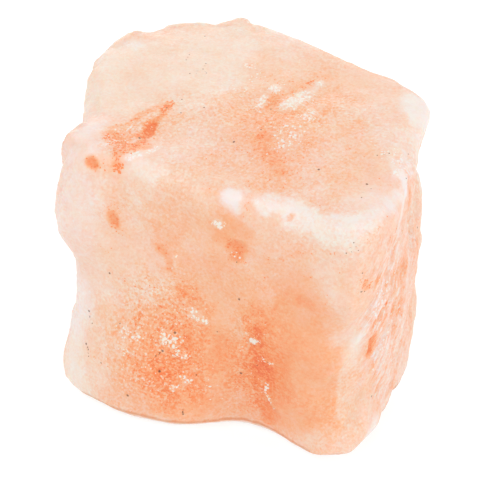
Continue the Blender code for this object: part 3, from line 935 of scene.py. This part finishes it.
    def build(self) -> bpy.types.Object:
        """Builds and dresses the block.

        Returns:
            The finished object.
        """
        cells = self.cells
        cube, quads, tile = cube_grid(cells)
        points = self.surface(self.guides(cube))
        normals = self.normals(points)
        edge = self.edge(points, normals)
        hidden = self.hidden(normals)
        self.paint(points, edge, hidden)
        points = points + normals * self.relief(points, edge, hidden)[:, None]
        points[:, 2] = np.where(points[:, 2] < self.foot_flat, 0.0, points[:, 2])
        block = mesh_object("pink_halite_block", points * MM, quads)
        places = block.data.uv_layers.new(name="OFBake")
        places.data.foreach_set("uv", tile.astype(np.float32).ravel())
        for layer, values in self.layers.items():
            attribute = block.data.attributes.new(layer.value, "FLOAT", "POINT")
            attribute.data.foreach_set("value", values.astype(np.float32))
        ways = block.data.attributes.new(SPECK_WAY, "FLOAT_VECTOR", "POINT")
        ways.data.foreach_set("vector", self.speck_ways(points, normals).astype(np.float32).ravel())
        block.data.materials.append(SaltFinish().material())
        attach(block, "root")
        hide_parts("halite_crystal")
        log.info("%s: %d points, %d faces", block.name, len(points), len(quads))
        return block


def mesh_object(name: str, points: Array, quads: Array) -> bpy.types.Object:
    """A smooth-shaded mesh object made from arrays, linked to the scene.

    Args:
        name: the object's name.
        points: the points, in metres.
        quads: the four-cornered faces.

    Returns:
        The new object, at the origin.
    """
    mesh = bpy.data.meshes.new(name)
    mesh.vertices.add(len(points))
    mesh.vertices.foreach_set("co", points.astype(np.float32).ravel())
    mesh.loops.add(quads.size)
    mesh.loops.foreach_set("vertex_index", quads.astype(np.int32).ravel())
    mesh.polygons.add(len(quads))
    mesh.polygons.foreach_set("loop_start", np.arange(0, quads.size, 4, dtype=np.int32))
    mesh.update(calc_edges=True)
    mesh.validate()
    mesh.shade_smooth()
    made = bpy.data.objects.new(name, mesh)
    bpy.context.scene.collection.objects.link(made)
    return made


class Graph:
    """A material's node tree, with short ways to add and link its nodes.

    place is a socket that gives the place on the object in millimetres, and every pattern's size and
    reach is in millimetres too.
    """

    def __init__(self, name: str) -> None:
        """Makes a material of this name, finds its shader and reads the place."""
        self.material = bpy.data.materials.new(name)
        self.material.use_nodes = True
        self.tree = self.material.node_tree
        self.shader = self.tree.nodes["Principled BSDF"]
        objects = self.node("TexCoord").outputs["Object"]
        self.place = self.node("VectorMath", {0: objects, "Scale": 1 / MM}, operation="SCALE").outputs[0]

    def node(self, kind: str, inputs: dict | None = None, **settings: object) -> bpy.types.Node:
        """Adds a node.

        Args:
            kind: the node's type name, without its ShaderNode prefix.
            inputs: what feeds its sockets, by name or number: a value or another node's socket.
            settings: the node's own settings.

        Returns:
            The new node.
        """
        made = self.tree.nodes.new("ShaderNode" + kind)
        for key, value in settings.items():
            setattr(made, key, value)
        for key, value in (inputs or {}).items():
            self.feed(made.inputs[key], value)
        return made

    def feed(self, socket: Socket, value: Input) -> None:
        """Links a socket to another one, or sets it to a plain value."""
        if isinstance(value, Socket):
            self.tree.links.new(value, socket)
        else:
            socket.default_value = value

    def maths(self, operation: str, *values: Input) -> Socket:
        """The result of a Math node.

        Args:
            operation: the node's operation.
            values: numbers or sockets, in order.

        Returns:
            The node's output.
        """
        return self.node("Math", dict(enumerate(values)), operation=operation).outputs[0]

    def times(self, first: Input, second: Input, plus: Input = 0.0) -> Socket:
        """The product of two values, plus a third."""
        return self.maths("MULTIPLY_ADD", first, second, plus)

    def band(self, value: Input, low: float, high: float, start: float, end: float) -> Socket:
        """A value taken from the range low to high into the range start to end, and held there.

        Args:
            value: the number or socket to map.
            low: the start of its range.
            high: the end of its range.
            start: the result at low.
            end: the result at high.

        Returns:
            The smoothly stepped result.
        """
        settings = {"Value": value, "From Min": low, "From Max": high, "To Min": start, "To Max": end}
        return self.node("MapRange", settings, interpolation_type="SMOOTHSTEP").outputs["Result"]

    def noise(self, place: Socket, size: float, detail: float = 2.0, rough: float = 0.6) -> Socket:
        """Noise from 0 to 1, about 0.5.

        Args:
            place: where the noise is read.
            size: the size of its largest features.
            detail: how many finer layers it has.
            rough: how strong the finer layers are.

        Returns:
            The noise's value.
        """
        settings = {"Vector": place, "Scale": 1.0 / size, "Detail": detail, "Roughness": rough}
        return self.node("TexNoise", settings).outputs["Fac"]

    def swing(self, place: Socket, size: float, detail: float = 2.0, rough: float = 0.6) -> Socket:
        """Noise from -0.5 to 0.5, otherwise as in noise."""
        return self.maths("SUBTRACT", self.noise(place, size, detail, rough), 0.5)

    def mix(self, blend: str, share: Input, first: Input, second: Input) -> Socket:
        """Two colours blended: the second over the first, by a share."""
        node = self.node("Mix", {"Factor": share}, data_type="RGBA", blend_type=blend)
        self.feed(node.inputs["A"], first)
        self.feed(node.inputs["B"], second)
        return node.outputs["Result"]

    def bent(self, place: Socket, size: float, reach: float) -> Socket:
        """The place moved by up to about half the reach, by noise of this size."""
        colour = self.node("TexNoise", {"Vector": place, "Scale": 1.0 / size, "Detail": 1.0}).outputs["Color"]
        push = self.node("VectorMath", {0: colour, 1: (0.5, 0.5, 0.5)}, operation="SUBTRACT").outputs[0]
        scaled = {0: push, 1: (reach, reach, reach), 2: place}
        return self.node("VectorMath", scaled, operation="MULTIPLY_ADD").outputs[0]

    def shifted(self, place: Socket, by: float) -> Socket:
        """The place moved along all three axes, which gives a pattern that is independent of the first."""
        return self.node("VectorMath", {0: place, 1: (by, by, by)}, operation="ADD").outputs[0]

    def drawn(self, place: Socket, share: float) -> Socket:
        """The place in the fibres' own axes, with the length along the fibres taken at a share."""
        along, across, upwards = fibre_axes()
        axes = (along * share, across, upwards)
        dots = [self.node("VectorMath", {0: place, 1: tuple(axis)}, operation="DOT_PRODUCT") for axis in axes]
        return self.node("CombineXYZ", {i: dot.outputs["Value"] for i, dot in enumerate(dots)}).outputs[0]

    def flecks(self, place: Socket, size: float, density: Input) -> Socket:
        """Small crisp flecks, from 0 to 1: where they lie denser, there are more and each is wider.

        Args:
            place: where the flecks are read.
            size: the size of a cell, each of which may hold a fleck.
            density: how densely they lie, from 0 to 1.

        Returns:
            1 where the distance to the cell's middle is below the density less the cell's random value.
        """
        cells = self.node("TexVoronoi", {"Vector": place, "Scale": 1.0 / size})
        pick = self.node("SeparateColor", {0: cells.outputs["Color"]}).outputs[1]
        reach = self.maths("SUBTRACT", self.times(density, 1.35), pick)
        over = self.times(reach, -0.75, cells.outputs["Distance"])
        return self.band(over, -0.1, 0.02, 1.0, 0.0)

    def layer(self, layer: Layer) -> Socket:
        """The painted layer's value."""
        return self.node("Attribute", attribute_name=layer.value).outputs["Fac"]


@dataclass(frozen=True)
class SaltFinish:
    """Cloudy, waxy salt, from white to deep orange, with a little light scattered under its skin.

    Each stop of the ramp is a tint and its colour. mottled to foot_shade say how much mottles, grains,
    streaks, stains, flakes, painted glints, and the foot's dark line of painted contact shadow and pale
    rim of painted light change the tint, and how densely specks and flakes lie in patches and along
    the strands, and painted glints among the grains.
    """

    ramp: tuple[tuple[float, Colour], ...] = (
        (-0.2, (0.775, 0.76, 0.735)),
        (0.0, (0.755, 0.685, 0.628)),
        (0.25, (0.766, 0.588, 0.488)),
        (0.5, (0.776, 0.474, 0.326)),
        (0.75, (0.786, 0.361, 0.184)),
        (1.0, (0.806, 0.244, 0.074)),
        (1.25, (0.76, 0.14, 0.035)),
    )
    cream: Colour = (1.0, 1.005, 0.97)
    rose: Colour = (1.0, 0.99, 1.035)
    clay: Colour = (0.16, 0.035, 0.006)
    shadow: Colour = (0.0, 0.0, 0.0)
    mottled: float = 0.36
    grained: float = 1.1
    streaked: float = 1.9
    stained: float = 0.8
    stain_tint: float = 1.15
    stain_patches: float = 1.6
    strand_stains: float = 0.22
    flaked: float = -0.86
    flake_lift: float = -0.1
    flake_patches: float = 1.4
    strand_flakes: float = 0.42
    # Painted glints: how densely white flecks that stand in for glints lie among the grains.
    glints: float = 0.44
    # Painted contact shadow along the foot, and painted light on the rim below it, in tint and colour.
    foot_shadow_tint: float = 0.28
    foot_rim_light: float = -0.45
    foot_shade: float = 0.16
    roughness: float = 0.45
    grain_roughness: float = 0.25
    bump: float = 0.45
    bump_depth: float = 0.12
    refraction: float = 1.544
    glow_weight: float = 0.35
    glow_depth: Colour = (1.0, 0.45, 0.25)
    glow_reach: float = 3.0

    def grains(self, graph: Graph) -> Socket:
        """Single grains of salt: fine noise plus a random value for each small cell, about 0."""
        fine = graph.swing(graph.place, size=0.6, detail=3.0, rough=0.75)
        cells = graph.node("TexVoronoi", {"Vector": graph.place, "Scale": 1.0 / 0.4}).outputs["Color"]
        cell = graph.maths("SUBTRACT", graph.node("SeparateColor", {0: cells}).outputs[0], 0.5)
        return graph.times(cell, 0.4, fine)

    def foot(self, graph: Graph) -> tuple[Socket, Socket]:
        """Painted shade and light at the foot: a thin dark line of painted contact shadow around it,
        and a paler rim of painted light below that line.

        Args:
            graph: the material's graph.

        Returns:
            A bell of the height, which wavers, and a step that is 1 below it.
        """
        height = graph.node("SeparateXYZ", {0: graph.place}).outputs[2]
        level = graph.times(graph.noise(graph.place, size=6.0), 1.6, height)
        rise, fall = graph.band(level, 2.6, 3.2, 0.0, 1.0), graph.band(level, 3.3, 4.2, 1.0, 0.0)
        return graph.times(rise, fall), graph.band(level, 1.9, 3.1, 1.0, 0.0)

    def tint(self, graph: Graph, grains: Socket, line: Socket, rim: Socket) -> Socket:
        """The tint at every place, from white below 0 to the deepest orange at 1.25.

        Args:
            graph: the material's graph.
            grains: the grains' value.
            line: the painted contact shadow, a dark line around the foot.
            rim: the painted light, a paler rim below that line.

        Returns:
            The painted tint plus mottles, the foot's painted shadow line and painted light rim, grains and
            streaks, taken towards deep orange by stains and towards white by flakes and painted glints.
        """
        grain, fibre = graph.layer(Layer.GRAIN), graph.layer(Layer.FIBRE)
        bent = graph.bent(graph.place, size=6.0, reach=2.4)
        rough = graph.bent(graph.place, size=0.5, reach=0.5)
        strands = graph.drawn(graph.bent(bent, size=0.6, reach=0.4), share=0.3)
        streaks = graph.swing(graph.drawn(bent, share=0.22), size=0.85, detail=4.0, rough=0.72)
        mottle = graph.swing(graph.place, size=2.4, detail=4.0, rough=0.72)
        tint = graph.times(mottle, self.mottled, graph.layer(Layer.TINT))
        # Painted contact shadow deepens the tint along the foot's line, and painted light pales the rim below
        # it.
        tint = graph.times(line, self.foot_shadow_tint, graph.times(rim, self.foot_rim_light, tint))
        tint = graph.times(graph.times(grains, grain), self.grained, tint)
        tint = graph.times(graph.times(streaks, fibre), self.streaked, tint)
        dense = graph.times(mottle, self.stain_patches, graph.layer(Layer.STAIN))
        dots = graph.flecks(graph.shifted(rough, 23.0), 0.42, dense)
        lines = graph.flecks(graph.shifted(strands, 41.0), 0.5, graph.times(fibre, self.strand_stains))
        stain = graph.times(graph.maths("MAXIMUM", dots, lines), self.stained)
        tint = graph.times(graph.maths("SUBTRACT", self.stain_tint, tint), stain, tint)
        dense = graph.times(mottle, self.flake_patches, graph.layer(Layer.FLAKE))
        chips = graph.flecks(graph.shifted(rough, 67.0), 0.5, dense)
        lines = graph.flecks(strands, 0.6, graph.times(fibre, self.strand_flakes))
        # Painted glints: white flecks in the colour stand in for light glinting off the grains' facets.
        glints = graph.flecks(graph.shifted(rough, 5.0), 0.6, graph.times(grain, self.glints))
        flake = graph.maths("MAXIMUM", chips, graph.times(lines, 0.8))
        flake = graph.maths("MAXIMUM", flake, graph.times(glints, 0.6))
        kept = graph.times(flake, self.flaked, 1.0)
        tint = graph.times(graph.maths("MAXIMUM", tint, 0.0), kept)
        return graph.times(flake, self.flake_lift, tint)

    def ramp_colour(self, graph: Graph, tint: Socket) -> Socket:
        """The ramp's colour for a tint."""
        low, high = self.ramp[0][0], self.ramp[-1][0]
        share = graph.maths("DIVIDE", graph.maths("SUBTRACT", tint, low), high - low)
        ramp = graph.node("ValToRGB", {0: share})
        stops = ramp.color_ramp.elements
        for _ in self.ramp[2:]:
            stops.new(0.5)
        for stop, (position, colour) in zip(stops, self.ramp):
            stop.position = (position - low) / (high - low)
            stop.color = (*colour, 1.0)
        return ramp.outputs[0]

    def colour(self, graph: Graph, tint: Socket, line: Socket) -> Socket:
        """The salt's colour.

        Args:
            graph: the material's graph.
            tint: the tint.
            line: the painted contact shadow, a dark line around the foot.

        Returns:
            The ramp's colour, leaned to cream or pink, darkened along the line by painted contact
            shadow, and dotted with clay.
        """
        lean = graph.swing(graph.shifted(graph.place, 11.0), size=3.4)
        lean = graph.band(graph.times(lean, 1.2, graph.layer(Layer.ROSE)), 0.0, 1.0, 0.0, 1.0)
        hues = graph.mix("MIX", lean, (*self.cream, 1.0), (*self.rose, 1.0))
        salt = graph.mix("MULTIPLY", 1.0, self.ramp_colour(graph, tint), hues)
        # Painted contact shadow: the colour goes towards black along the foot's line.
        shade = graph.times(line, self.foot_shade)
        salt = graph.mix("MIX", shade, salt, (*self.shadow, 1.0))
        way = graph.node("Attribute", attribute_name=SPECK_WAY).outputs["Vector"]
        gap = graph.node("VectorMath", {0: way}, operation="LENGTH").outputs["Value"]
        gap = graph.times(graph.noise(graph.place, size=0.4), 0.3, gap)
        return graph.mix("MIX", graph.band(gap, 0.24, 0.44, 0.9, 0.0), salt, (*self.clay, 1.0))

    def material(self) -> bpy.types.Material:
        """Makes the salt's material.

        Returns:
            The material: the painted tint, broken up by grains, streaks and flakes, looked up in a
            colour ramp, over a waxy, light-scattering body.
        """
        graph = Graph("pink_halite_salt")
        grains = self.grains(graph)
        # The foot's line of painted contact shadow, and the rim of painted light below it.
        line, rim = self.foot(graph)
        tint = self.tint(graph, grains, line, rim)
        crust = graph.times(grains, graph.layer(Layer.GRAIN))
        height = graph.maths("ADD", crust, graph.noise(graph.place, size=0.5, detail=3.0))
        settings = {"Height": height, "Strength": self.bump, "Distance": self.bump_depth * MM}
        sockets = graph.shader.inputs
        graph.feed(sockets["Base Color"], self.colour(graph, tint, line))
        graph.feed(sockets["Roughness"], graph.times(grains, self.grain_roughness, self.roughness))
        graph.feed(sockets["Normal"], graph.node("Bump", settings).outputs[0])
        sockets["Metallic"].default_value = 0.0
        sockets["IOR"].default_value = self.refraction
        sockets["Subsurface Weight"].default_value = self.glow_weight
        sockets["Subsurface Radius"].default_value = self.glow_depth
        sockets["Subsurface Scale"].default_value = self.glow_reach * MM
        return graph.material


@dataclass(frozen=True)
class FloorFinish:
    """Matt white paper on a light table, lit a little from below, with a very faint unevenness."""

    white: Colour = (0.46, 0.46, 0.46)
    shade: Colour = (0.45, 0.45, 0.45)
    patches: float = 40.0
    glow: float = 1.35
    roughness: float = 0.8

    def material(self) -> bpy.types.Material:
        """Makes the floor's material: two whites mixed by broad noise."""
        graph = Graph("white_paper")
        share = graph.noise(graph.place, self.patches)
        paper = graph.mix("MIX", share, (*self.white, 1.0), (*self.shade, 1.0))
        sockets = graph.shader.inputs
        graph.feed(sockets["Base Color"], paper)
        graph.feed(sockets["Emission Color"], paper)
        sockets["Emission Strength"].default_value = self.glow
        sockets["Roughness"].default_value = self.roughness
        return graph.material


@dataclass(frozen=True)
class Lamp:
    """A square, soft lamp: where it hangs, the side of its face and its power in watts."""

    name: str
    place: Point
    side: float
    power: float


@dataclass(frozen=True)
class Studio:
    """The camera, the floor and the lights."""

    target: Point = (-1.0, -0.6, 27.0)
    azimuth: float = 14.0
    elevation: float = 36.0
    roll: float = 3.5
    distance: float = 340.0
    frame_width: float = 94.0
    sensor: float = 36.0
    nearest: float = 0.01
    farthest: float = 20.0
    floor_side: float = 6000.0
    floor_gap: float = 0.05
    sky: float = 0.95
    lamps: tuple[Lamp, ...] = (
        Lamp("key", (-300.0, -450.0, 900.0), 500.0, 2.2),
        Lamp("fill", (850.0, -250.0, 450.0), 500.0, 1.9),
        Lamp("back", (-350.0, 850.0, 180.0), 500.0, 1.3),
    )

    def camera(self) -> bpy.types.Object:
        """Sets up the camera: at its distance from the target, looking at it, and rolled about its axis."""
        turn, rise, roll = (np.radians(angle) for angle in (self.azimuth, self.elevation, self.roll))
        back = Vector((np.sin(turn) * np.cos(rise), -np.cos(turn) * np.cos(rise), np.sin(rise)))
        right = Vector((np.cos(turn), np.sin(turn), 0.0))
        up = back.cross(right)
        rolled_right = right * np.cos(roll) + up * np.sin(roll)
        rolled_up = up * np.cos(roll) - right * np.sin(roll)
        lens = bpy.data.cameras.new("camera")
        lens.sensor_width = self.sensor
        lens.lens = self.sensor * self.distance / self.frame_width
        lens.clip_start = self.nearest
        lens.clip_end = self.farthest
        camera = bpy.data.objects.new("camera", lens)
        axes = Matrix((rolled_right, rolled_up, back)).transposed().to_4x4()
        place = (Vector(self.target) + back * self.distance) * MM
        camera.matrix_world = Matrix.Translation(place) @ axes
        bpy.context.scene.collection.objects.link(camera)
        bpy.context.scene.camera = camera
        return camera

    def floor(self) -> bpy.types.Object:
        """Lays the floor: one square, a hair below the block's resting face."""
        half, low = self.floor_side / 2, -self.floor_gap
        corners = np.array([[-half, -half, low], [half, -half, low], [half, half, low], [-half, half, low]])
        floor = mesh_object("floor", corners * MM, np.array([[0, 1, 2, 3]]))
        floor.data.materials.append(FloorFinish().material())
        return floor

    def sky_light(self) -> bpy.types.World:
        """Makes an even white sky."""
        world = bpy.data.worlds.new("sky")
        world.use_nodes = True
        background = world.node_tree.nodes["Background"]
        background.inputs["Color"].default_value = (1.0, 1.0, 1.0, 1.0)
        background.inputs["Strength"].default_value = self.sky
        bpy.context.scene.world = world
        return world

    def hang(self, lamp: Lamp) -> bpy.types.Object:
        """Hangs a lamp in its place, facing the camera's target."""
        light = bpy.data.lights.new(lamp.name, "AREA")
        light.shape = "SQUARE"
        light.size = lamp.side * MM
        light.energy = lamp.power
        hung = bpy.data.objects.new(lamp.name, light)
        hung.location = Vector(lamp.place) * MM
        away = Vector(lamp.place) - Vector(self.target)
        hung.rotation_euler = away.to_track_quat("Z", "Y").to_euler()
        bpy.context.scene.collection.objects.link(hung)
        return hung

    def build(self) -> None:
        """Builds the studio and keeps white as white."""
        for made in (self.camera(), self.floor(), self.sky_light(), *map(self.hang, self.lamps)):
            log.info("%s: ready", made.name)
        bpy.context.scene.view_settings.view_transform = "Standard"


def main() -> None:
    """Builds the block and the studio."""
    logging.basicConfig(level=logging.INFO, format="%(name)s: %(message)s")
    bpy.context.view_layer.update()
    SaltBlock().build()
    Studio().build()


if __name__ == "__main__":
    main()
